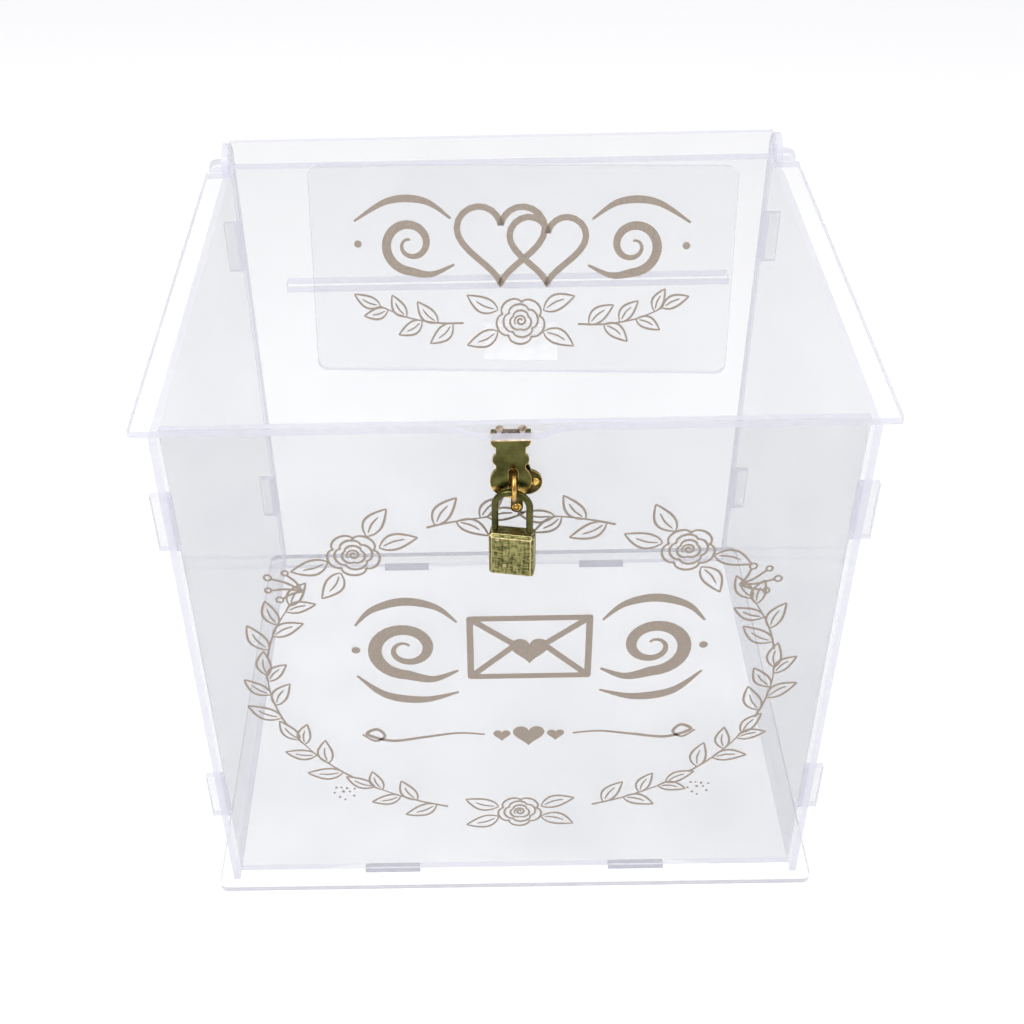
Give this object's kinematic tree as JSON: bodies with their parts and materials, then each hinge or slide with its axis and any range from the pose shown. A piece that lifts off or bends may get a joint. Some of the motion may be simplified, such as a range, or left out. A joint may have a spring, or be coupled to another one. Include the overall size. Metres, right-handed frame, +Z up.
{
  "type": "card box",
  "caption": "Clear acrylic box with a slotted hinged lid, a sign standing on the lid, and a brass hasp and padlock, for collecting cards at a reception",
  "frame": {"origin": "middle of the base plate's underside, on the table", "axes": "+Z up; the hasp, padlock and sign face -Y; X runs along the lid's hinge axis"},
  "size_m": [0.264, 0.2307, 0.3191],
  "materials": {
    "clear_acrylic": "polished sheet with laser-cut edges",
    "aged_brass": "aged, satin",
    "bright_brass": "satin",
    "plain_steel": "zinc plated"
  },
  "bodies": {
    "box": {"base_plate": "clear_acrylic", "front_panel": "clear_acrylic", "back_panel": "clear_acrylic", "left_side_panel": "clear_acrylic", "right_side_panel": "clear_acrylic", "staple_plate": "aged_brass", "staple_ring": "bright_brass", "staple_screws": "bright_brass", "staple_nuts": "bright_brass"},
    "lid": {"lid": "clear_acrylic", "sign_plate": "clear_acrylic", "sign_wedge": "clear_acrylic", "hasp_leaf": "aged_brass", "hasp_rivets": "bright_brass", "hasp_pin": "plain_steel"},
    "strap": {"hasp_strap": "aged_brass"},
    "shackle": {"padlock_shackle": "aged_brass"},
    "lock_case": {"padlock_body": "bright_brass", "padlock_retaining_pin": "plain_steel", "padlock_plug_pin": "plain_steel", "padlock_latch_spring": "plain_steel", "padlock_shackle_spring": "plain_steel"},
    "plug": {"padlock_plug": "bright_brass"},
    "latch": {"padlock_latch": "plain_steel"}
  },
  "joints": [
    {"name": "lid_hinge", "type": "hinge", "parent": "box", "child": "lid", "pos_m": [0, 0.0997, 0.2462], "axis": [-1, 0, 0], "range_deg": [0, 94]},
    {"name": "strap_swing", "type": "hinge", "parent": "lid", "child": "strap", "pos_m": [-0.0012, -0.1075, 0.2429], "axis": [1, 0, 0], "range_deg": [0, 90]},
    {"name": "padlock_swing", "type": "hinge", "parent": "box", "child": "shackle", "pos_m": [-0.0008, -0.112, 0.2208], "axis": [-0.9848, 0.1736, 0], "range_deg": [0, 80]},
    {"name": "padlock_drop", "type": "slide", "parent": "shackle", "child": "lock_case", "axis": [0, 0, -1], "range_m": [0, 0.0065], "deforming": ["padlock_shackle_spring"]},
    {"name": "plug_turn", "type": "hinge", "parent": "lock_case", "child": "plug", "pos_m": [-0.0008, -0.112, 0.19], "axis": [0, 0, 1], "range_deg": [0, 90]},
    {"name": "latch_draw", "type": "slide", "parent": "lock_case", "child": "latch", "axis": [-0.9848, 0.1736, 0], "range_m": [0, 0.0026]}
  ],
  "couplings": [
    {"joint": "strap_swing", "follows": "lid_hinge", "ratio": 0.957},
    {"joint": "plug_turn", "follows": "padlock_drop", "rad_per_m": 241.66},
    {"joint": "latch_draw", "follows": "padlock_drop", "ratio": 0.4}
  ]
}
